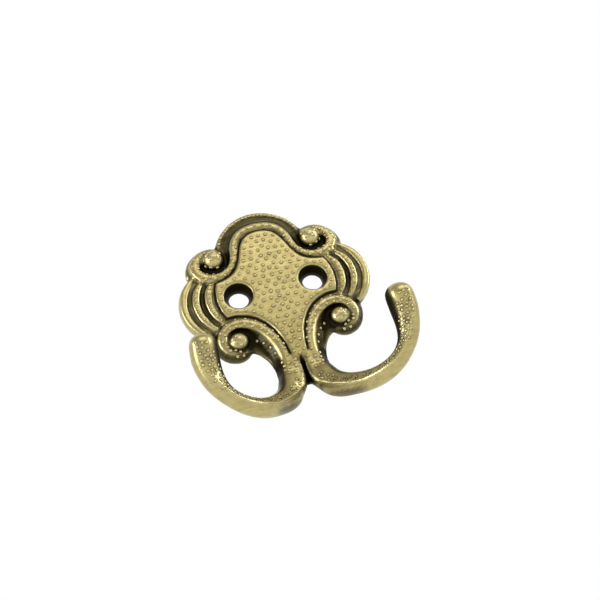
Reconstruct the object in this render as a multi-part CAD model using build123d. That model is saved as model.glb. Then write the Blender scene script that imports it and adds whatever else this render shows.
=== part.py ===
from build123d import *
import math
import os

# Double coat hook, cast in one piece: a scrolled wall plate and two curved arms.
# The model is drawn lying on its back (x to the right, y up the wall, height towards
# the room) and is stood against the wall plane at the end.
# All lengths are in millimetres.

# Screws
hole_spacing = 20.0
screw_bore = 5.2
sink_diameter = 7.8
sink_depth = 2.4

# Levels above the back face
field_height = 4.0
floor_height = 1.6
rib_floor_height = 2.3
crest_height = 2.3
scroll_height = 3.75
neck_height = 3.9
volute_end_height = 3.0
root_depth = 1.0

# Field, the flat beaded middle of the plate
field_half_width = 15.7
field_top = 18.1
edge_round = 0.25

# Neck, where the plate runs out between the arms
neck_roll = -20.6
neck_end = -27.6
neck_end_height = 0.7

# Crest, the arched ledge over the field
crest_top = 25.3
rim_width = 1.5

# Shell ribs, three at each side of the plate
rib_pitch = 3.25
rib_width = 1.9
rib_height = 3.75
rib_step = 0.18
rib_radius = 9.8
outer_rib_radius = 11.2

# Balls in the eyes of the scrolls
upper_ball_diameter = 5.5
upper_ball_rise = 5.1
upper_ball_x = 13.35
upper_ball_y = 12.9
lower_ball_diameter = 5.3
lower_ball_rise = 4.4
lower_ball_x = 13.35
lower_ball_y = -12.3

# Arms: widths across the bend, and how much deeper the bar is along the bend
start_width = 4.6
root_width = 6.2
belly_width = 4.8
waist_width = 4.2
tip_width = 6.2
root_deepening = 0.4
tip_deepening = 0.9
tip_round = 2.7
arm_drop = 35.6
arm_reach = 21.4
tip_half_spacing = 24.1
tip_level = -21.0


def mixed(stations, share, column):
    # A value read between the two stations beside this share of the path.
    for first, second in zip(stations, stations[1:]):
        if share <= second[0]:
            mix = (share - first[0]) / (second[0] - first[0])
            return first[column] + mix * (second[column] - first[column])
    return stations[-1][column]


def relief(path, stations, count):
    # A raised band along a path drawn in the plane of the plate. Each station is
    # (share of the path, width, height, left skirt, right skirt), seen along the path.
    # A section has a crowned top and flanks that run out by the skirts at the back face.
    sections = []
    for index in range(count):
        share = index / (count - 1)
        width, height = mixed(stations, share, 1), mixed(stations, share, 2)
        left_skirt, right_skirt = mixed(stations, share, 3), mixed(stations, share, 4)
        along = path % share
        plane = Plane(
            origin=path @ share,
            x_dir=(-along.Y, along.X, 0),
            z_dir=along,
        )
        shoulder = height - width * 0.16
        spread = (shoulder + root_depth) / shoulder
        flanks = Polyline(
            (width / 2, shoulder),
            (width / 2 + left_skirt * spread, -root_depth),
            (-width / 2 - right_skirt * spread, -root_depth),
            (-width / 2, shoulder),
        )
        crown = ThreePointArc((-width / 2, shoulder), (0, height), (width / 2, shoulder))
        sections.append(plane * make_face(flanks + crown))
    return loft(sections, ruled=True)


def closed_face(half_edges):
    # Half an outline from its top to its foot on the middle line, made whole.
    other_half = [mirror(edge, about=Plane.YZ) for edge in half_edges]
    return make_face(Curve() + half_edges + other_half)


def field():
    # The edge runs over the top arch, in round the upper scroll, down the side beside
    # the ribs, in round the lower scroll and down the neck, where the field rolls back.
    shoulder = (6.4, field_top - 5.6)
    upper_corner = (field_half_width - 1.0, 5.2)
    lower_corner = (field_half_width - 1.1, -5.5)
    foot = (1.9, neck_end)
    half = [
        Spline((0, field_top), (4.0, field_top - 1.3), shoulder, tangents=((1, 0), (0.35, -1))),
        Spline(shoulder, (9.0, 7.4), upper_corner, tangents=((0.35, -1), (1, -0.1))),
        ThreePointArc(upper_corner, (field_half_width, 0), lower_corner),
        Spline(lower_corner, (9.0, -6.3), (4.2, -11.2), (2.2, -18.0), foot),
        Line(foot, (0, neck_end)),
    ]
    plateau = extrude(closed_face(half), field_height, dir=(0, 0, 1))
    rim = plateau.faces().sort_by(Axis.Z)[-1].edges()
    plateau = chamfer(rim, edge_round)
    over = 2 * field_height
    roll = Spline(
        (neck_roll, field_height),
        (neck_roll - 3.4, field_height * 0.62),
        (neck_end, neck_end_height),
        tangents=((-1, 0), (-1, -0.15)),
    )
    above = Polyline(
        (neck_end, neck_end_height),
        (neck_end - 1, neck_end_height),
        (neck_end - 1, over),
        (neck_roll, over),
        (neck_roll, field_height),
    )
    return plateau - extrude(Plane.YZ * make_face(roll + above), over, both=True)


def plate_outline():
    # The edge of the plate: the crest, the upper volute, the outer rib, the lower
    # volute, the hollow over the arm and the point between the arms.
    crest_foot = (11.9, 17.1)
    upper_notch = (21.2, 9.3)
    rib_edge = (field_half_width + 3 * rib_pitch + 0.05, -0.4)
    lower_notch = (19.9, -9.6)
    hollow = (10.75, -15.35)
    neck_side = (6.8, -25.0)
    half = [
        Spline((0, crest_top + 0.1), (4.1, 24.6), (8.2, 21.95), crest_foot, tangents=((1, 0), (0.5, -1))),
        Spline(crest_foot, (15.0, 17.5), (18.6, 15.9), (20.9, 12.9), upper_notch),
        ThreePointArc(upper_notch, rib_edge, lower_notch),
        Spline(lower_notch, (19.7, -12.4), (17.8, -15.8), (14.4, -17.2), hollow),
        Spline(hollow, (8.65, -17.2), (7.0, -20.7), neck_side),
        Line(neck_side, (0, neck_end)),
    ]
    return closed_face(half)


def rib_bed():
    # The floor between the ribs stands a little higher than the rest.
    outer = field_half_width - 0.6 + 3 * rib_pitch
    inner = field_half_width - 2.0
    bed = ThreePointArc((inner, 8.0), (outer, 0), (inner, -8.0))
    side = Line((inner, -8.0), (inner, 8.0))
    return extrude(make_face(Curve() + [bed, side]), rib_floor_height)


def crest():
    # A raised rim round the outside, with a dark ledge sloping in behind the scroll.
    level = crest_top - rim_width / 2 - 0.1
    path = Spline(
        (-2.1, level - 0.3),
        (0, level),
        (4.2, level - 0.85),
        (7.9, level - 3.05),
        (10.2, level - 6.0),
        (11.4, level - 9.4),
    )
    stations = [
        (0.0, rim_width, crest_height, 0.45, 2.4),
        (0.6, rim_width, crest_height, 0.45, 2.4),
        (1.0, rim_width, crest_height - 0.4, 0.45, 1.6),
    ]
    return relief(path, stations, 16)


def upper_scroll():
    # From the middle of the arch, down beside the field and round the ball.
    path = Spline(
        (-1.2, field_top + 1.7),
        (1.2, field_top + 1.7),
        (4.2, 18.95),
        (6.9, 15.8),
        (7.7, 12.8),
        (9.4, 9.2),
        (13.3, 7.15),
        (17.4, 8.5),
        (18.6, 11.0),
        (17.3, 13.8),
        (14.9, 15.35),
        (12.7, 15.6),
        (11.1, 14.4),
    )
    stations = [
        (0.0, 2.3, scroll_height, 1.6, 0.15),
        (0.25, 1.9, scroll_height, 1.8, 0.15),
        (0.42, 1.8, scroll_height, 0.9, 0.15),
        (0.58, 2.5, scroll_height, 0.4, 0.2),
        (0.68, 2.6, scroll_height, 0.4, 0.6),
        (0.74, 2.6, scroll_height, 0.4, 2.4),
        (0.80, 2.5, scroll_height, 0.4, 2.3),
        (0.87, 2.2, scroll_height - 0.1, 0.4, 2.0),
        (0.94, 1.5, scroll_height - 0.4, 0.4, 1.2),
        (1.0, 1.1, scroll_height - 1.0, 0.4, 0.6),
    ]
    return relief(path, stations, 34)


def lower_scroll():
    # From the neck, up beside the field and round the ball. The right skirt is the
    # dark slope that falls to the edge of the plate.
    path = Spline(
        (4.1, -25.0),
        (3.5, -19.0),
        (4.8, -13.8),
        (7.95, -9.4),
        (12.5, -7.5),
        (16.2, -9.0),
        (17.3, -12.2),
        (16.2, -14.7),
        (13.9, -15.75),
        (11.7, -14.9),
    )
    stations = [
        (0.0, 3.8, neck_height, 0.15, 1.6),
        (0.08, 3.0, neck_height, 0.15, 2.6),
        (0.16, 2.2, neck_height, 0.15, 4.0),
        (0.30, 1.9, neck_height, 0.15, 4.9),
        (0.42, 2.3, scroll_height, 0.15, 3.6),
        (0.55, 2.7, scroll_height, 0.2, 0.8),
        (0.66, 2.5, scroll_height, 0.5, 0.3),
        (0.78, 2.3, scroll_height - 0.1, 1.9, 0.2),
        (0.87, 1.9, volute_end_height + 0.3, 1.2, 0.1),
        (0.94, 1.5, volute_end_height, 0.8, 0.1),
        (1.0, 1.0, volute_end_height - 0.9, 0.4, 0.1),
    ]
    return relief(path, stations, 34)


def rib(number):
    # Concentric crescents that step outwards and a little down.
    middle = field_half_width + 2.0 + number * rib_pitch
    height = rib_height - number * rib_step * (number + 1) / 2
    radius = (rib_radius, rib_radius, outer_rib_radius)[number]
    half_angle = math.radians((42, 50, 55)[number])
    centre = middle - radius
    start = (centre + radius * math.cos(half_angle), radius * math.sin(half_angle))
    finish = (start[0], -start[1])
    path = ThreePointArc(start, (middle, 0), finish)
    stations = [
        (0.0, rib_width * 0.5, height - 0.6, 0.3, 0.4),
        (0.25, rib_width, height, 0.3, 0.4),
        (0.75, rib_width, height, 0.3, 0.4),
        (1.0, rib_width * 0.5, height - 0.6, 0.3, 0.4),
    ]
    return relief(path, stations, 13)


def ball(x, y, diameter, rise):
    # A round boss, sunk in the eye of a scroll.
    return Pos(x, y, rise - diameter / 2) * Sphere(diameter / 2)


def arm():
    # The bar leaves the neck, dips below the plate and comes forward and up to a
    # rounded, swollen tip. It is oval, and deeper in the plane of its bend.
    path = Spline(
        (3.2, -16.5, -1.8),
        (3.5, -21.5, -0.2),
        (4.0, -26.0, 1.5),
        (5.6, -30.2, 3.4),
        (9.1, -33.4, 7.2),
        (13.6, -arm_drop, arm_reach - 9.2),
        (18.7, -arm_drop + 0.7, arm_reach - 5.0),
        (22.5, -arm_drop + 4.7, arm_reach - 3.4),
        (tip_half_spacing - 0.1, -25.2, arm_reach - 2.1),
        (tip_half_spacing - 0.4, tip_level + 0.4, arm_reach),
    )
    sizes = [
        (0.0, start_width, 0.0),
        (0.12, root_width - 1.0, root_deepening / 2),
        (0.22, root_width, root_deepening),
        (0.29, root_width, root_deepening),
        (0.42, (root_width + belly_width) / 2 - 0.4, 0.2),
        (0.53, belly_width, 0.0),
        (0.69, waist_width, 0.0),
        (0.75, waist_width, 0.1),
        (0.93, tip_width, tip_deepening),
        (1.0, tip_width, tip_deepening),
    ]
    count = 28
    sections = []
    across = (-0.7, 0, 0.7)
    for index in range(count):
        share = index / (count - 1)
        width = mixed(sizes, share, 1)
        depth = width + mixed(sizes, share, 2)
        plane = Plane(origin=path @ share, x_dir=across, z_dir=path % share)
        sections.append(plane * Ellipse(depth / 2, width / 2, rotation=90))
    end = Plane(origin=path @ 1, x_dir=across, z_dir=path % 1)
    for angle in (22, 44, 64, 82):
        rise = tip_round * math.sin(math.radians(angle))
        shrink = math.cos(math.radians(angle))
        oval = Ellipse(depth / 2 * shrink, width / 2 * shrink, rotation=90)
        sections.append(end * Pos(0, 0, rise) * oval)
    return loft(sections, ruled=True)


def screw_hole():
    straight = Cylinder(screw_bore / 2, 3 * field_height)
    sink = Cone(screw_bore / 2, sink_diameter / 2, sink_depth)
    sink = Pos(0, 0, field_height - sink_depth / 2) * sink
    return Pos(hole_spacing / 2, 0, 0) * (straight + sink)


def right_half():
    # Each relief is trimmed to the edge of the plate before the next one is added.
    outline = plate_outline()
    within = extrude(outline, 2 * upper_ball_rise, dir=(0, 0, 1))
    half = extrude(outline, floor_height, dir=(0, 0, 1)) + rib_bed() + crest()
    half = (half + upper_scroll()) & within
    half = (half + lower_scroll()) & within
    half = (half + rib(0) + rib(1) + rib(2)) & within
    half += ball(upper_ball_x, upper_ball_y, upper_ball_diameter, upper_ball_rise)
    half += ball(lower_ball_x, lower_ball_y, lower_ball_diameter, lower_ball_rise)
    half += field()
    half += arm()
    half -= screw_hole()
    reach = 4 * tip_half_spacing
    room = Pos(reach / 2, 0, reach / 2) * Box(reach, reach, reach)
    return half & room


def hook_casting():
    half = right_half()
    return half + mirror(half, about=Plane.YZ)


wall = Plane(origin=(0, 0, 0), x_dir=(1, 0, 0), z_dir=(0, -1, 0))
casting = wall * hook_casting()
casting.label = "hook_casting"

os.makedirs("parts", exist_ok=True)
export_step(casting, "parts/hook_casting.step")
print("solids", len(casting.solids()), "volume", round(casting.volume, 1))
print("box", casting.bounding_box())
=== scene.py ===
import math

import bmesh
import bpy
import numpy as np
from mathutils import Matrix, Vector
from mathutils.bvhtree import BVHTree


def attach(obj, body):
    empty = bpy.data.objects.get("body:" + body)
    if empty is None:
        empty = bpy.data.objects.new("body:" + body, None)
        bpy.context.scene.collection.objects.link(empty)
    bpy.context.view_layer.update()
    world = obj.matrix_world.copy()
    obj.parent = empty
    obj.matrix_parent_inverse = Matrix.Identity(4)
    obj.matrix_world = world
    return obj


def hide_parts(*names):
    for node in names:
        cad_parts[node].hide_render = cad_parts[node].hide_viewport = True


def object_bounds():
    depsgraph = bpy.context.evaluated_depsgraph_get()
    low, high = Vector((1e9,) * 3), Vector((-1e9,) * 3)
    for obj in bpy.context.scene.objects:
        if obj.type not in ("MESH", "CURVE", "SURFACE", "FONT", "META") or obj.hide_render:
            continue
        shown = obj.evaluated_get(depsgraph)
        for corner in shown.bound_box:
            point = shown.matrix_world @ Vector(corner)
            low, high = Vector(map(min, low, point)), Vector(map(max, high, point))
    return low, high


# Double coat hook, one casting in antique brass: the CAD shape rebuilt as a smooth
# skin, with the punched beads laid on it. Plate positions are in millimetres,
# x to the right and y up the wall, and the height of the skin comes from the casting.

mm = 0.001
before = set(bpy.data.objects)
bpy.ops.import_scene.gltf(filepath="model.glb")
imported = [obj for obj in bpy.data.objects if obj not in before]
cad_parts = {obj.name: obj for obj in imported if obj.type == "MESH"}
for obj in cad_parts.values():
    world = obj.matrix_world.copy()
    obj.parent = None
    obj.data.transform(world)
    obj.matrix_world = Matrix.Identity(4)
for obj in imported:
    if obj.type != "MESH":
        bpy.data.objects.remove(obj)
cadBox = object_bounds()
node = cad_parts["hook_casting"]


def linear(hexCode):
    channels = [int(hexCode[i:i + 2], 16) / 255 for i in (1, 3, 5)]
    bent = [c / 12.92 if c <= 0.04045 else ((c + 0.055) / 1.055) ** 2.4 for c in channels]
    return bent + [1.0]


def softStep(low, high, value):
    share = np.clip((value - low) / (high - low), 0, 1)
    return share * share * (3 - 2 * share)


def placed(name, data):
    piece = bpy.data.objects.new(name, data)
    bpy.context.scene.collection.objects.link(piece)
    return piece


arm = {
    # The middle line of the right arm and the middle of its loop, as (x, y, height).
    "line": [
        (4.1, -26.0, 1.5), (5.6, -30.2, 3.4), (9.1, -33.4, 7.2), (13.6, -35.6, 12.2),
        (18.7, -34.9, 16.4), (22.5, -30.9, 18.0), (24.0, -25.2, 19.3), (23.7, -20.6, 21.4),
        (23.4, -18.6, 22.6),
    ],
    "loop": (13, -24, 11),
    "faces": (-0.7, -0.7, 0),  # the beaded front looks to the middle line and the room
}


def curveMesh(places, steps, radius=0.0):
    # A smooth curve through the places: a bare line, or a round cord with closed ends.
    data = bpy.data.curves.new("curve", "CURVE")
    data.dimensions = "3D"
    data.resolution_u = steps
    data.bevel_depth = radius * mm
    data.bevel_resolution = 3
    data.use_fill_caps = True
    line = data.splines.new("BEZIER")
    line.bezier_points.add(len(places) - 1)
    for point, (x, y, height) in zip(line.bezier_points, places):
        point.co = Vector((x, -height, y)) * mm
        point.handle_left_type = point.handle_right_type = "AUTO"
    guide = placed("curve", data)
    graph = bpy.context.evaluated_depsgraph_get()
    mesh = bpy.data.meshes.new_from_object(guide.evaluated_get(graph))
    bpy.data.objects.remove(guide)
    return mesh


armPoints = [v.co.copy() for v in curveMesh(arm["line"], 24).vertices]
armSteps = [0.0]
for here, there in zip(armPoints, armPoints[1:]):
    armSteps.append(armSteps[-1] + (there - here).length)


def armPlace(share):
    # Point, direction, front and inner side of the arm at a share of its length.
    target = share * armSteps[-1]
    index = min(max(int(np.searchsorted(armSteps, target)), 1), len(armPoints) - 1)
    back, ahead = armPoints[index - 1], armPoints[index]
    mix = (target - armSteps[index - 1]) / max(armSteps[index] - armSteps[index - 1], 1e-9)
    along = (ahead - back).normalized()
    front = Vector(arm["faces"])
    front = (front - along * front.dot(along)).normalized()
    inner = front.cross(along).normalized()
    x, y, height = arm["loop"]
    point = back.lerp(ahead, mix)
    if (Vector((x, -height, y)) * mm - point).dot(inner) < 0:
        inner = -inner
    return point, along, front, inner


ridge = {
    # The flat, beaded front of an arm meets its round outer side in a soft ridge.
    # share of the arm: angle from the front towards the inner side
    "angles": [(0.0, -20), (0.15, -2), (0.5, 0), (0.65, -26), (0.8, -54), (1.0, -76)],
    "rise": 0.26,
    "width": 11,           # degrees round the arm
    "hollow": 0.10,        # the front is a little hollow beside the ridge
    "hollowBeside": 32,
    "hollowWidth": 24,
    "firstShare": 0.02,
    "lastShare": 0.86,
    "fadeShare": 0.1,
    "steps": 60,
}


def ridgeAngle(share):
    shares, angles = zip(*ridge["angles"])
    return float(np.interp(share, shares, angles))


def meshArrays(mesh):
    # Places, normals, and a function that gives each value its neighbours' average.
    count = len(mesh.vertices)
    places, normals = np.empty(count * 3), np.empty(count * 3)
    mesh.vertices.foreach_get("co", places)
    mesh.vertices.foreach_get("normal", normals)
    ends = np.empty(len(mesh.edges) * 2, int)
    mesh.edges.foreach_get("vertices", ends)
    ends = ends.reshape(-1, 2)
    joined = np.bincount(ends.ravel(), minlength=count).astype(float)

    def averaged(values):
        total = np.zeros_like(values)
        for axis in range(values.shape[1]):
            total[:, axis] = np.bincount(ends[:, 0], values[ends[:, 1], axis], count)
            total[:, axis] += np.bincount(ends[:, 1], values[ends[:, 0], axis], count)
        return total / joined[:, None]

    return places.reshape(-1, 3), normals.reshape(-1, 3), averaged


def bulgeOf(mesh, rounds):
    # How far each vertex stands above the smoothed surface, in millimetres.
    places, normals, averaged = meshArrays(mesh)
    spread = places
    for _ in range(rounds):
        spread = averaged(spread)
    return ((places - spread) * normals).sum(1) / mm


# The skin of the casting

skin = {
    "voxel": 0.3,          # cell size of the rebuilt skin
    "overallRounds": 5,    # light smoothing, the edges of a cast and tumbled part
    "grooveDepth": 0.06,   # hollows sharper than this are filled a little, as plating does
    "grooveSpread": 6,     # rounds of averaging that the hollows are measured against
    "grooveRounds": 14,
    "armRounds": 22,       # heavier smoothing on the plain bars of the arms
    "armStart": -23.0,     # the arms leave the plate below this level
    "armHeight": 5.3,      # and stand further out than this
    "armSwell": 0.10,      # given back after the smoothing
    "neckRounds": 6,       # the two arms run together here
    "neckTop": -20.5,
    "neckFoot": -28.5,
    "neckHalf": 2.8,
    "neckLow": 0.6,        # the fold starts this far off the wall
    "valley": 1.3,         # depth of the fold between them
    "valleyWidth": 0.36,
    "valleyTop": 2.2,      # it fades in over this length from the top,
    "valleyRise": 1.5,     # and over this height
    "weld": 0.002,         # corners of the CAD copy closer than this are joined
}


def smooth(shape, verts, rounds):
    for _ in range(rounds):
        bmesh.ops.smooth_vert(
            shape, verts=verts, factor=0.5, use_axis_x=True, use_axis_y=True, use_axis_z=True
        )


def upTo(value, full):
    return min(max(value / full, 0), 1)


def raiseRidge(bars):
    count = ridge["steps"]
    steps = [armPlace(index / count) for index in range(count + 1)]
    middles = np.array([tuple(step[0]) for step in steps])
    for vert in bars:
        place = Vector((abs(vert.co.x), vert.co.y, vert.co.z))
        index = int(np.linalg.norm(middles - np.array(place), axis=1).argmin())
        point, _, front, inner = steps[index]
        off = place - point
        share = index / count
        angle = math.degrees(math.atan2(off.dot(inner), off.dot(front))) - ridgeAngle(share)
        fade = upTo(share - ridge["firstShare"], ridge["fadeShare"])
        fade *= upTo(ridge["lastShare"] - share, ridge["fadeShare"])
        away = angle / ridge["width"]
        beside = (angle - ridge["hollowBeside"]) / ridge["hollowWidth"]
        lift = ridge["rise"] * math.exp(-away * away)
        lift -= ridge["hollow"] * math.exp(-beside * beside)
        vert.co += vert.normal * (skin["armSwell"] + lift * fade) * mm


def foldNeck(shape):
    top, foot, low = skin["neckTop"], skin["neckFoot"], skin["neckLow"]
    near = [
        v for v in shape.verts
        if abs(v.co.x) < skin["neckHalf"] * mm and foot * mm < v.co.z < top * mm
        and v.co.y < -low * mm
    ]
    smooth(shape, near, skin["neckRounds"])
    for vert in near:
        off = vert.co.x / mm / skin["valleyWidth"]
        fade = upTo(top - vert.co.z / mm, skin["valleyTop"])
        fade *= upTo(-vert.co.y / mm - low, skin["valleyRise"])
        vert.co.y += skin["valley"] * mm * fade * math.exp(-off * off)


groove = {
    # A cord sunk along the edge of the field, so that the groove beside it is shallow.
    "radius": 0.85,
    "height": 2.35,
    "edge": [
        (0, 18.35), (2.2, 18.1), (4.6, 16.7), (5.7, 14.9), (6.6, 12.5), (7.2, 10.8), (8.5, 8.5),
        (10.5, 6.6), (12.8, 5.7), (14.7, 5.3), (15.5, 3.0), (15.9, 0), (15.5, -3.2), (14.6, -5.6),
        (12.0, -5.7), (9.7, -6.4), (7.6, -7.6), (5.8, -9.4), (4.4, -11.6), (3.3, -14.2),
        (2.6, -17.0), (2.3, -19.6),
    ],
}

crest = {
    # The ledge between the crest and the upper scrolls, as (x, y, height).
    "radius": 1.3,
    "line": [
        (0, 22.3, 1.0), (2.2, 22.1, 1.0), (4.4, 21.3, 1.0), (6.4, 19.9, 1.0), (8.0, 18.1, 0.9),
        (9.1, 16.2, 0.7),
    ],
}

roots = {
    # Where the arms run together under the field, as (x, y, height).
    "radius": 2.0,
    "line": [
        (1.6, -19.6, 1.7), (1.75, -22.5, 2.1), (1.85, -25.2, 2.2), (2.2, -27.4, 2.6),
        (3.4, -29.4, 3.6),
    ],
}


def keepInside(verts):
    # Nothing that is seen stands outside the box of the CAD model.
    for vert in verts:
        for axis in range(3):
            vert.co[axis] = min(max(vert.co[axis], cadBox[0][axis]), cadBox[1][axis])


def castSkin():
    merged = bmesh.new()
    merged.from_mesh(node.data)
    bmesh.ops.remove_doubles(merged, verts=merged.verts, dist=skin["weld"] * mm)
    edge = [(x, y, groove["height"]) for x, y in groove["edge"]]
    for half, radius in ((edge, groove["radius"]), (crest["line"], crest["radius"])):
        full = [(-x, y, height) for x, y, height in reversed(half) if x] + half
        merged.from_mesh(curveMesh(full, 6, radius))
    for side in (1, -1):
        root = [(side * x, y, height) for x, y, height in roots["line"]]
        merged.from_mesh(curveMesh(root, 6, roots["radius"]))
    mesh = bpy.data.meshes.new("hook_skin")
    merged.to_mesh(mesh)
    merged.free()
    piece = placed("hook_skin", mesh)
    remesh = piece.modifiers.new("rebuild", "REMESH")
    remesh.mode = "VOXEL"
    remesh.voxel_size = skin["voxel"] * mm
    remesh.use_smooth_shade = True
    graph = bpy.context.evaluated_depsgraph_get()
    rebuilt = bpy.data.meshes.new_from_object(piece.evaluated_get(graph))
    piece.modifiers.clear()
    piece.data = rebuilt

    shape = bmesh.new()
    shape.from_mesh(rebuilt)
    smooth(shape, shape.verts, skin["overallRounds"])
    shape.to_mesh(rebuilt)
    hollow = bulgeOf(rebuilt, skin["grooveSpread"]) < -skin["grooveDepth"]
    shape.verts.ensure_lookup_table()
    grooves = [shape.verts[index] for index in np.flatnonzero(hollow)]
    smooth(shape, grooves, skin["grooveRounds"])
    low, out = skin["armStart"] * mm, -skin["armHeight"] * mm
    bars = [v for v in shape.verts if v.co.z < low or v.co.y < out]
    smooth(shape, bars, skin["armRounds"])
    foldNeck(shape)
    shape.normal_update()
    raiseRidge(bars)
    keepInside(shape.verts)
    shape.to_mesh(rebuilt)
    shape.free()
    for face in rebuilt.polygons:
        face.use_smooth = True
    return piece


hook = castSkin()
skinTree = BVHTree.FromPolygons(
    [v.co.copy() for v in hook.data.vertices],
    [list(p.vertices) for p in hook.data.polygons],
)
print("skin", len(hook.data.vertices), "vertices")

# The beads

beads = {
    "diameter": 0.86,
    "rise": 0.24,
    "around": 10,
    "rings": 5,
    "dropFrom": 30,        # where the rays that place them start, in front of the wall
    "dropFromArm": 9,      # and off the middle line of the arm
    "unevenAlong": 0.18,   # share of the spacing, on the arms
    "unevenAngle": 3.5,    # degrees
    "batch": 40,
}

# Right half, as (x, y). Each bead off the middle line has its twin on the left.
fieldBeads = [
    (0, 16.35), (1.9, 16.25), (0.92, 14.7), (2.68, 13.65), (4.77, 13.55), (0, 12.95),
    (1.4, 11.9), (3.35, 11.75), (5.25, 11.6), (1.17, 10.0), (3.9, 9.8), (5.95, 9.7),
    (0, 8.75), (2.4, 8.65), (4.7, 7.9), (6.9, 7.8), (1.45, 7.05), (3.4, 6.5), (5.75, 6.05),
    (8.05, 6.1), (1.8, 5.35), (9.8, 5.05), (4.25, 4.6), (7.0, 4.3), (11.8, 4.3),
    (13.45, 3.85), (2.35, 3.7), (5.55, 2.7), (3.7, 1.95), (1.45, 2.05), (14.25, 2.0),
    (2.45, 0.5), (4.9, 0.4), (0, 0.5), (14.4, 0), (5.35, -1.7), (3.65, -1.35), (1.75, -1.2),
    (2.2, -3.1), (4.3, -3.4), (6.75, -3.65), (1.0, -4.45), (5.45, -4.95), (2.35, -5.5),
    (7.55, -5.75), (3.6, -6.8), (5.9, -7.2), (4.45, -8.9), (2.2, -8.85), (3.3, -10.85),
    (1.17, -11.1), (2.2, -12.7), (1.8, -14.2), (1.2, -16.5), (1.3, -19.4), (9.5, -4.8),
    (11.7, -4.2), (13.5, -3.8), (14.3, -2.3), (3.9, 15.5), (0, 5.85), (0, 3.6), (0, -1.65),
    (0, -3.1), (0, -5.7), (1.1, -7.0), (0, -9.25), (0, -12.05), (0, -13.9), (0, -15.6),
    (0, -18.2), (0, -20.3),
]
crestBeads = [
    (0, 24.4), (2.15, 24.2), (4.2, 23.6), (6.15, 22.6), (7.9, 21.3), (9.4, 19.7), (10.4, 18.0),
]
upperScrollBeads = [
    (0, 20.1), (2.2, 19.8), (4.1, 19.1), (5.9, 17.5), (7.0, 15.8), (6.7, 14.7), (7.7, 13.8),
    (7.5, 12.6), (8.5, 11.6), (8.5, 10.4), (9.6, 9.6), (9.65, 8.5), (11.0, 9.3),
    (11.3, 8.3), (11.6, 7.1), (12.5, 8.8), (13.4, 7.6), (14.4, 8.4), (14.3, 6.7),
    (15.5, 7.5), (16.0, 8.8), (16.8, 7.2), (17.5, 8.2), (17.4, 9.7), (17.7, 11.0),
    (18.9, 12.0), (19.6, 10.5), (17.4, 12.8), (16.5, 14.2), (18.0, 13.9), (15.0, 15.2),
]
upperBallBeads = [
    (11.3, 13.9), (12.05, 12.15), (12.7, 13.7), (14.1, 12.1), (14.5, 10.6), (12.8, 10.3),
    (15.7, 11.6), (14.8, 13.7),
]
lowerScrollBeads = [
    (3.2, -19.8), (3.2, -17.8), (3.1, -16.5), (4.0, -15.4), (3.9, -14.2), (5.0, -14.5),
    (4.8, -13.3), (4.6, -12.2), (6.0, -12.7), (5.8, -11.2), (7.0, -10.8), (6.0, -10.1),
    (7.5, -9.5), (8.9, -9.5), (7.9, -8.2), (9.3, -8.2), (10.9, -8.5), (10.2, -6.9),
    (11.6, -7.5), (12.7, -6.4), (12.9, -8.4), (14.0, -7.5), (14.6, -8.6), (15.2, -7.4),
    (16.2, -8.8), (16.3, -10.1), (17.2, -9.3), (17.3, -11.7), (16.5, -13.4), (16.1, -14.5),
    (14.8, -14.6), (13.8, -15.3), (14.8, -16.3), (13.2, -16.3),
]
lowerBallBeads = [(14.4, -13.0), (13.7, -11.4), (12.3, -12.6), (14.9, -11.9), (13.0, -13.9)]
coveBeads = [
    (8.9, -13.0), (7.5, -14.3), (6.3, -16.1), (5.6, -18.1), (4.9, -21.3), (4.7, -22.6),
    (4.8, -23.8),
]
neckBeads = [
    (1.6, -21.6), (2.0, -23.4), (2.5, -25.0), (3.4, -22.1), (3.6, -23.4), (4.3, -25.0),
]


def dropOn(spots, size=1.0):
    # Places on the plate where a bead comes down on the skin, from the room.
    found = []
    for x, y in spots:
        for side in ((1, -1) if x else (1,)):
            start = Vector((side * x * mm, -beads["dropFrom"] * mm, y * mm))
            hit, out, _, _ = skinTree.ray_cast(start, Vector((0, 1, 0)))
            if hit is not None:
                found.append((hit, out, size))
    return found


armRows = [
    # degrees inside the ridge, first share, last share, spacing in mm, size
    (14, 0.05, 0.13, 1.6, 0.85), (36, 0.06, 0.14, 1.6, 0.85),
    (12, 0.16, 0.50, 2.1, 0.65), (30, 0.18, 0.51, 2.1, 0.65),
    (-4, 0.66, 0.97, 1.6, 0.85), (16, 0.53, 0.96, 1.5, 0.85), (36, 0.54, 0.95, 1.5, 0.85),
    (56, 0.74, 0.90, 1.6, 0.85),
]


def dropOnArms():
    found = []
    for beside, first, last, step, size in armRows:
        count = round((last - first) * armSteps[-1] / (step * mm))
        for index in range(count + 1):
            # Sines of odd steps set the beads a little unevenly, as a hand punch does.
            along = index + beads["unevenAlong"] * math.sin(index * 2.4 + beside)
            share = first + (last - first) * along / count
            angle = ridgeAngle(share) + beside
            angle = math.radians(angle + beads["unevenAngle"] * math.sin(index * 1.7 + beside))
            point, _, front, inner = armPlace(share)
            out = front * math.cos(angle) + inner * math.sin(angle)
            hit, facing, _, _ = skinTree.ray_cast(point + out * beads["dropFromArm"] * mm, -out)
            if hit is None:
                continue
            for side in (1, -1):
                flip = Vector((side, 1, 1))
                found.append((hit * flip, facing * flip, size))
    return found


ribRows = [
    # outermost point of the row in mm from the middle line, half its angle in degrees
    (17.7, 34), (20.95, 42),
]


def ribBeads():
    spots = []
    radius, step = 9.8, 1.5  # of the rows' curve, and from bead to bead
    for outermost, reach in ribRows:
        count = round(2 * math.radians(reach) * radius / step)
        for index in range(count + 1):
            angle = math.radians(-reach + 2 * reach * index / count)
            across = outermost - radius + radius * math.cos(angle)
            spots.append((across, radius * math.sin(angle)))
    return spots


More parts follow.
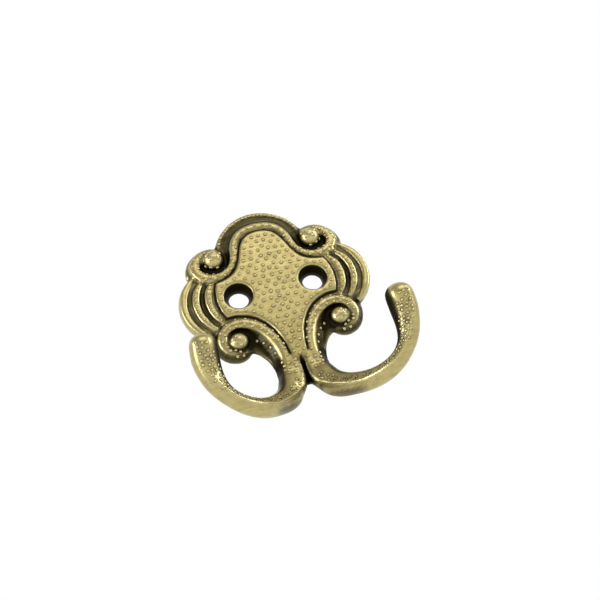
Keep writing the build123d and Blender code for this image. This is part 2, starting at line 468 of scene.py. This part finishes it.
def beadPiece(places):
    # Shallow domes, their lower halves sunk in the skin. They are made in small batches,
    # because a long bmesh slows down with every bead.
    whole = bmesh.new()
    for first in range(0, len(places), beads["batch"]):
        batch = bmesh.new()
        for hit, out, size in places[first:first + beads["batch"]]:
            radius, flat = beads["diameter"] * mm / 2 * size, beads["rise"] * mm * size
            turn = out.to_track_quat("Z", "Y").to_matrix().to_4x4()
            place = Matrix.Translation(hit) @ turn @ Matrix.Diagonal((radius, radius, flat, 1))
            bmesh.ops.create_uvsphere(
                batch, u_segments=beads["around"], v_segments=beads["rings"],
                radius=1, matrix=place,
            )
        part = bpy.data.meshes.new("batch")
        batch.to_mesh(part)
        batch.free()
        whole.from_mesh(part)
        bpy.data.meshes.remove(part)
    keepInside(whole.verts)
    mesh = bpy.data.meshes.new("bead_grain")
    whole.to_mesh(mesh)
    whole.free()
    for face in mesh.polygons:
        face.use_smooth = True
    return placed("bead_grain", mesh)


beadPlaces = []
for spots in (fieldBeads, crestBeads, upperScrollBeads, lowerScrollBeads, coveBeads, neckBeads):
    beadPlaces += dropOn(spots)
beadPlaces += dropOn(upperBallBeads + lowerBallBeads, 1.25)
beadPlaces += dropOn(ribBeads(), 0.8)
beadPlaces += dropOnArms()
beadGrain = beadPiece(beadPlaces)
print("beads", len(beadPlaces))

# Where the dark patina and the painted shade lie, and where the metal is rubbed off

finish = {
    # Lengths are in mm.
    "reach": 2.6,          # how far the rays look for neighbouring metal
    "rays": 14,
    "rayStart": 0.05,
    "bulgeSpread": 8,      # rounds of averaging that edges and hollows are measured against
    "hollowLimit": 0.25,
    "haloStart": 0.36,     # dark ring round each bead
    "haloEnd": 0.66,
    "holeAcross": 10.0,    # from the middle line to a screw hole
    "holeLip": 3.93,       # height of its bright lip
    "balls": [(13.35, 12.9), (13.35, -12.3)],
    "beadTop": (0.04, 0.16),
    "beadFoot": 0.4,       # how dark the foot of a bead is, and how bare its top
    "beadBare": 0.9,
}

zones = {
    # Each zone fades in along its measures: where it starts, and where it is full.
    # Height, level up the wall and distances are in mm, and a direction runs to 1.
    # all but the flat back
    "front": [("height", 0.2, 0.7)],
    # patina in the coves and painted shade on the walls under the lower scrolls
    "slopePatinaAndShade": [("height", 3.5, 2.8), ("level", -7, -12), ("level", -28, -23), ("height", 0.2, 0.7)],
    # thin line in the groove round the field, and the field beside it
    "line": [("fromEdge", 0.42, 0.12), ("height", 4.4, 4.0), ("height", 0.2, 0.7)],
    "nearLine": [("fromEdge", 1.3, 0.5)],
    # shade under the crest, and patina with painted shade down the screw holes
    "ledge": [("height", 3.2, 2.2), ("level", 9, 11), ("height", 0.2, 0.7)],
    "borePatinaAndShade": [("fromHole", 3.95, 3.6), ("height", 0.02, 0.3)],
    # painted shade on the side of the arms that faces the plate, and on the underside of their
    # roots
    "armBackShade": [("toPlate", 0.1, 0.55), ("height", 8, 13), ("level", -34, -31)],
    "undersideShade": [("down", 0.2, 0.8), ("across", 13, 8), ("level", -24, -27)],
    # painted shade on the wall of the loops beside the neck, and in the fold between the arms
    "loopWallShade": [
        ("toLoop", 0.15, 0.7), ("across", 10, 7), ("level", -19, -22), ("height", 0.2, 0.7),
    ],
    "foldShade": [("across", 1.7, 0.5), ("level", -20.3, -22), ("height", 0.2, 0.7)],
    # bands of the scrolls, which stand above the field, and the outer rib
    "band": [("height", 4.1, 4.5), ("height", 6.5, 5.8), ("level", -25, -22)],
    "outerRib": [("across", 19.5, 21.5), ("height", 5, 4)],
    # what is rubbed: the balls, the arms, and all edges
    "ball": [("fromBall", 3.0, 1.6), ("height", 2.6, 3.6)],
    "arm": [("height", 5.5, 9)],
    "edge": [("bulge", 0.02, 0.16)],
}

# How dark each kind of place is painted, where 1 is all dark: patina, and painted shade. Hollow is
# for each mm of depth.
patinaAndShadeDepth = {
    "hidden": 1.2, "hollow": 1.5, "back": 0.16, "slopePatinaAndShade": 0.46, "line": 0.6, "ledge": 0.22,
    "borePatinaAndShade": 0.9, "armBackShade": 0.85, "undersideShade": 0.4, "loopWallShade": 0.5, "foldShade": 0.45, "band": 0.13,
    "halo": 0.26,
}

# How bare the raised places are rubbed, where 1 is all bare
rubbed = {"edge": 0.72, "ball": 0.6, "arm": 0.12}

# What is spared from the rubbing, so that patina and painted shade stay dark: first of the edges,
# then of all
sparedEdge = {"nearLine": 0.4, "band": 0.6}
spared = {
    "slopePatinaAndShade": 1, "line": 1, "armBackShade": 1, "loopWallShade": 1, "foldShade": 1, "ledge": 0.7, "halo": 0.65,
    "outerRib": 0.3,
}


def zone(name, where):
    share = 1.0
    for along, start, full in zones[name]:
        share = share * softStep(start, full, where[along])
    return share


def hemisphere(count):
    # Directions spread evenly over the upper half of a ball.
    rays = []
    for index in range(count):
        lift = (index + 0.5) / count
        turn = index * math.pi * (3 - math.sqrt(5))
        flat = math.sqrt(1 - lift * lift)
        rays.append(Vector((flat * math.cos(turn), flat * math.sin(turn), lift)))
    return rays


def hiddenShare(places, normals):
    # How much of each vertex's view is closed off by metal nearby.
    rays = hemisphere(finish["rays"])
    reach = finish["reach"] * mm
    hidden = np.zeros(len(places))
    for index in range(len(places)):
        out = Vector(normals[index])
        turn = out.to_track_quat("Z", "Y").to_matrix()
        start = Vector(places[index]) + out * finish["rayStart"] * mm
        found = 0.0
        for ray in rays:
            hit, _, _, far = skinTree.ray_cast(start, turn @ ray, reach)
            if hit is not None:  # metal at the end of the reach counts half
                found += ray.z * (1 - 0.5 * far / reach)
        hidden[index] = found
    return hidden / sum(ray.z for ray in rays)


def fromEdge(across, level):
    # Distance in mm from the groove round the field.
    nearest = np.full(len(across), np.inf)
    for (x, y), (x2, y2) in zip(groove["edge"], groove["edge"][1:]):
        run = (x2 - x) ** 2 + (y2 - y) ** 2
        share = np.clip(((across - x) * (x2 - x) + (level - y) * (y2 - y)) / run, 0, 1)
        far = np.hypot(across - x - share * (x2 - x), level - y - share * (y2 - y))
        nearest = np.minimum(nearest, far)
    return nearest


def beadHalo(places):
    halo = np.zeros(len(places))
    for hit, _, _ in beadPlaces:
        centre = np.array(hit)
        near = np.flatnonzero(np.abs(places - centre).max(1) < finish["haloEnd"] * mm)
        far = np.linalg.norm(places[near] - centre, axis=1) / mm
        ring = 1 - softStep(finish["haloStart"], finish["haloEnd"], far)
        halo[near] = np.maximum(halo[near], ring)
    return halo


def storeLayers(mesh, patinaAndShade, wear):
    for name, values in (("patinaAndShade", patinaAndShade), ("wear", wear)):
        layer = mesh.attributes.new(name, "FLOAT", "POINT")
        layer.data.foreach_set("value", values.astype(np.float32))


def storeFinishAndShade(piece):
    places, normals, _ = meshArrays(piece.data)
    side = np.sign(places[:, 0])
    across, level, height = np.abs(places[:, 0]) / mm, places[:, 2] / mm, -places[:, 1] / mm
    bulge = bulgeOf(piece.data, finish["bulgeSpread"])
    loopAcross, loopLevel = arm["loop"][0] - across, arm["loop"][1] - level
    toLoop = normals[:, 0] * side * loopAcross + normals[:, 2] * loopLevel
    where = {
        "across": across,
        "level": level,
        "height": height,
        "bulge": bulge,
        "fromEdge": fromEdge(across, level),
        "fromHole": np.hypot(across - finish["holeAcross"], level),
        "fromBall": np.min([np.hypot(across - x, level - y) for x, y in finish["balls"]], axis=0),
        "toPlate": -0.8 * normals[:, 0] * side + 0.5 * normals[:, 1],  # and to the middle
        "down": -normals[:, 2],
        "toLoop": toLoop / np.maximum(np.hypot(loopAcross, loopLevel), 0.01),
    }
    shares = {name: zone(name, where) for name in zones}
    shares["back"] = 1 - shares["front"]
    shares["borePatinaAndShade"] = np.where(height < finish["holeLip"], shares["borePatinaAndShade"], 0)
    shares["halo"] = beadHalo(places)
    shares["hidden"] = hiddenShare(places, normals)
    shares["hollow"] = np.clip(-bulge, -finish["hollowLimit"], finish["hollowLimit"])

    # Patina and painted shade add up to one darkness.
    dark = sum(depth * shares[name] for name, depth in patinaAndShadeDepth.items())
    wear = rubbed["edge"] * shares["edge"]
    for name, amount in sparedEdge.items():
        wear *= 1 - amount * shares[name]
    # The painted shade on the undersides also keeps them from being rubbed bright.
    wear = np.maximum(wear, rubbed["arm"] * shares["arm"] * (1 - shares["undersideShade"]))
    wear = np.maximum(wear, rubbed["ball"] * shares["ball"])
    for name, amount in spared.items():
        wear *= 1 - amount * shares[name]
    storeLayers(piece.data, np.clip(dark, 0, 1), wear)


def storeBeadFinish(piece):
    lift = np.array([skinTree.find_nearest(vert.co)[3] for vert in piece.data.vertices]) / mm
    top = softStep(*finish["beadTop"], lift)
    storeLayers(piece.data, finish["beadFoot"] * (1 - top), finish["beadBare"] * top)


storeFinishAndShade(hook)
storeBeadFinish(beadGrain)
print("finish stored")

# Antique brass: zinc casting, brass plated, darkened, tumbled and brushed, lacquered

brass = {
    "rubbed": "#D2C68F",
    "body": "#BCAD70",
    "shade": "#5F5737",
    "patinaAndShade": "#221B0B",
    # The darkest stop is the colour of patina and of painted shade.
    "darkness": (0.04, 0.32, 0.66),  # where body, shade and patina are reached
    "roughness": 0.32,
    "patinaRoughness": 0.6,
    "coat": 0.35,
    "patinaCoat": 0.08,
    "coatFade": (0.2, 0.6),  # darkness over which the lacquer thins
    "coatRoughness": 0.14,
    "streakSize": (7.0, 1.5, 0.35),  # mm: brushing along the plate, its depth and width
    "streakTilt": 6,       # degrees
    "streakUneven": 0.28,  # how much brushing and dipping change the darkness
    "cloudSize": 3.0,
    "cloudUneven": 0.2,
    "evenOut": -0.16,      # takes the middle of both off again
    "bump": 0.2,
    "bumpDepth": 0.03,
}


def addNode(tree, kind, settings, links):
    # Settings go to an input by its name or number, or else to the node itself.
    made = tree.nodes.new(kind)
    for name, value in settings.items():
        if isinstance(name, int) or (name in made.inputs and not hasattr(type(made), name)):
            made.inputs[name].default_value = value
        else:
            setattr(made, name, value)
    for name, source in links.items():
        tree.links.new(source, made.inputs[name])
    return made


def newMaterial(name):
    material = bpy.data.materials.new(name)
    material.use_nodes = True
    material.node_tree.nodes.clear()
    return material, material.node_tree


def antiqueBrass():
    # Dark oxide stays in the hollows and painted shade on the sides turned from the light,
    # bare brass shows on what stands up, and the thin lacquer gives it small white glints.
    material, tree = newMaterial("antique_brass")
    place = addNode(tree, "ShaderNodeTexCoord", {}, {}).outputs["Object"]
    patinaAndShade = addNode(tree, "ShaderNodeAttribute", {"attribute_name": "patinaAndShade"}, {}).outputs["Fac"]
    wear = addNode(tree, "ShaderNodeAttribute", {"attribute_name": "wear"}, {}).outputs["Fac"]
    # Brushing: long along x, narrow up the wall.
    stretched = addNode(
        tree, "ShaderNodeMapping",
        {
            "vector_type": "POINT",
            "Scale": [1 / (size * mm) for size in brass["streakSize"]],
            "Rotation": (0, math.radians(brass["streakTilt"]), 0),
        },
        {"Vector": place},
    )
    streaks = addNode(
        tree, "ShaderNodeTexNoise", {"Scale": 1.0, "Detail": 3.0},
        {"Vector": stretched.outputs["Vector"]},
    ).outputs["Fac"]
    clouds = addNode(
        tree, "ShaderNodeTexNoise", {"Scale": 1 / (brass["cloudSize"] * mm), "Detail": 4.0},
        {"Vector": place},
    ).outputs["Fac"]
    # Darkness from the stored patina and painted shade, uneven from the brushing and the dipping.
    uneven = addNode(
        tree, "ShaderNodeMath",
        {"operation": "MULTIPLY_ADD", 1: brass["streakUneven"], 2: brass["evenOut"]}, {0: streaks},
    )
    uneven = addNode(
        tree, "ShaderNodeMath", {"operation": "MULTIPLY_ADD", 1: brass["cloudUneven"]},
        {0: clouds, 2: uneven.outputs[0]},
    )
    darkness = addNode(
        tree, "ShaderNodeMath", {"operation": "ADD"}, {0: patinaAndShade, 1: uneven.outputs[0]}
    ).outputs[0]
    ramp = addNode(tree, "ShaderNodeValToRGB", {}, {"Fac": darkness})
    stops = ramp.color_ramp.elements
    bodyStop, shadeStop, patinaAndShadeStop = brass["darkness"]
    stops[0].position, stops[0].color = bodyStop, linear(brass["body"])
    stops[1].position, stops[1].color = patinaAndShadeStop, linear(brass["patinaAndShade"])
    stops.new(shadeStop).color = linear(brass["shade"])
    worn = addNode(
        tree, "ShaderNodeMix", {"data_type": "RGBA", 7: linear(brass["rubbed"])},
        {0: wear, 6: ramp.outputs["Color"]},
    )
    rough = addNode(
        tree, "ShaderNodeMapRange",
        {"To Min": brass["roughness"], "To Max": brass["patinaRoughness"]}, {"Value": darkness},
    )
    bump = addNode(
        tree, "ShaderNodeBump", {"Strength": brass["bump"], "Distance": brass["bumpDepth"] * mm},
        {"Height": streaks},
    )
    # The lacquer is thin over the patina and painted shade, so its glints stay on the bright
    # metal.
    bare, dark = brass["coatFade"]
    coat = addNode(
        tree, "ShaderNodeMapRange",
        {
            "From Min": bare, "From Max": dark,
            "To Min": brass["coat"], "To Max": brass["patinaCoat"],
        },
        {"Value": darkness},
    )
    shader = addNode(
        tree, "ShaderNodeBsdfPrincipled",
        {"Metallic": 1.0, "Coat Roughness": brass["coatRoughness"]},
        {
            "Base Color": worn.outputs[2],
            "Roughness": rough.outputs["Result"],
            "Normal": bump.outputs["Normal"],
            "Coat Weight": coat.outputs["Result"],
        },
    )
    addNode(tree, "ShaderNodeOutputMaterial", {}, {"Surface": shader.outputs["BSDF"]})
    return material


antique = antiqueBrass()
for piece in (hook, beadGrain):
    piece.data.materials.clear()
    piece.data.materials.append(antique)
    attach(piece, "root")
node.data.materials.clear()
node.data.materials.append(antique)
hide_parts("hook_casting")

# Studio

studio = {
    "wallBehind": 260,     # mm behind the back face
    "floorBelow": -240,
    "sheetHalf": 2000,
    "paper": "#F4F4F2",
    "wallGlow": 1.0,       # how light the paper is to the eye and in the metal
    "floorGlow": 1.0,
    "sky": "#DAD8D2",
    "skyStrength": 0.72,
    "aim": (0, -8, -6),    # where the soft boxes point
}


def paperMaterial(name, rays, glow):
    # Seamless paper: dull to the light, and plain white along the rays that are named.
    material, tree = newMaterial(name)
    path = addNode(tree, "ShaderNodeLightPath", {}, {})
    seen = path.outputs[rays[0]]
    for ray in rays[1:]:
        both = {0: seen, 1: path.outputs[ray]}
        seen = addNode(tree, "ShaderNodeMath", {"operation": "MAXIMUM"}, both).outputs[0]
    dull = addNode(tree, "ShaderNodeBsdfDiffuse", {"Color": linear(studio["paper"])}, {})
    white = addNode(tree, "ShaderNodeEmission", {"Color": (1, 1, 1, 1), "Strength": glow}, {})
    mix = addNode(
        tree, "ShaderNodeMixShader", {}, {"Fac": seen, 1: dull.outputs[0], 2: white.outputs[0]}
    )
    addNode(tree, "ShaderNodeOutputMaterial", {}, {"Surface": mix.outputs[0]})
    return material


def sheetPiece(name, centre, turn, material):
    shape = bmesh.new()
    place = Matrix.Translation(Vector(centre) * mm) @ Matrix.Rotation(turn, 4, "X")
    bmesh.ops.create_grid(
        shape, x_segments=1, y_segments=1, size=studio["sheetHalf"] * mm, matrix=place
    )
    mesh = bpy.data.meshes.new(name)
    shape.to_mesh(mesh)
    shape.free()
    mesh.materials.append(material)
    piece = placed(name, mesh)
    return piece


allSeen = ("Is Camera Ray", "Is Glossy Ray", "Is Transmission Ray")
wallPaper = paperMaterial("studio_paper", allSeen, studio["wallGlow"])
floorPaper = paperMaterial("studio_floor", ("Is Glossy Ray",), studio["floorGlow"])
back, low, half = studio["wallBehind"], studio["floorBelow"], studio["sheetHalf"]
sheetPiece("backdrop", (0, back, low + half), math.pi / 2, wallPaper)
sheetPiece("floor", (0, back - half, low), 0, floorPaper)

world = bpy.data.worlds.new("studio")
world.use_nodes = True
sky = world.node_tree.nodes["Background"]
sky.inputs["Color"].default_value = linear(studio["sky"])
sky.inputs["Strength"].default_value = studio["skyStrength"]
bpy.context.scene.world = world

# Soft boxes: name: place in mm, width, height, power in watts, colour
boxes = {
    "over": ((120, -330, 300), 300, 220, 0.38, "#FFFCF6"),
    "left": ((-380, -180, 60), 60, 300, 0.9, "#F3F7FF"),
    "right": ((360, -160, 120), 60, 300, 0.6, "#F3F7FF"),
    "under": ((-60, -260, -320), 300, 160, 1.9, "#FFF4E0"),
}


def softBox(name, place, width, height, power, colour):
    lamp = bpy.data.lights.new(name, "AREA")
    lamp.shape = "RECTANGLE"
    lamp.size, lamp.size_y = width * mm, height * mm
    lamp.energy = power
    lamp.color = linear(colour)[:3]
    piece = placed(name, lamp)
    piece.location = Vector(place) * mm
    ahead = Vector(studio["aim"]) * mm - piece.location
    piece.rotation_euler = ahead.to_track_quat("-Z", "Y").to_euler()


for name, settings in boxes.items():
    softBox(name, *settings)

# Camera, where the photograph was taken from

view = {
    "lens": 55.4,          # mm
    "sensor": 36,
    "near": 0.005,         # m
    "far": 20,
    "place": (-38.99, -205.93, -119.33),
    "right": (0.9518, -0.0344, -0.3047),
    "up": (0.2445, -0.5146, 0.8218),
    "look": (0.1851, 0.8567, 0.4814),
}

lens = bpy.data.cameras.new("camera")
lens.lens, lens.sensor_width = view["lens"], view["sensor"]
lens.clip_start, lens.clip_end = view["near"], view["far"]
camera = placed("camera", lens)
right, up, look = (Vector(view[name]).normalized() for name in ("right", "up", "look"))
turn = Matrix((right, up, -look)).transposed().to_4x4()
camera.matrix_world = Matrix.Translation(Vector(view["place"]) * mm) @ turn
bpy.context.scene.camera = camera
bpy.context.scene.view_settings.view_transform = "Standard"

print("camera and studio set")
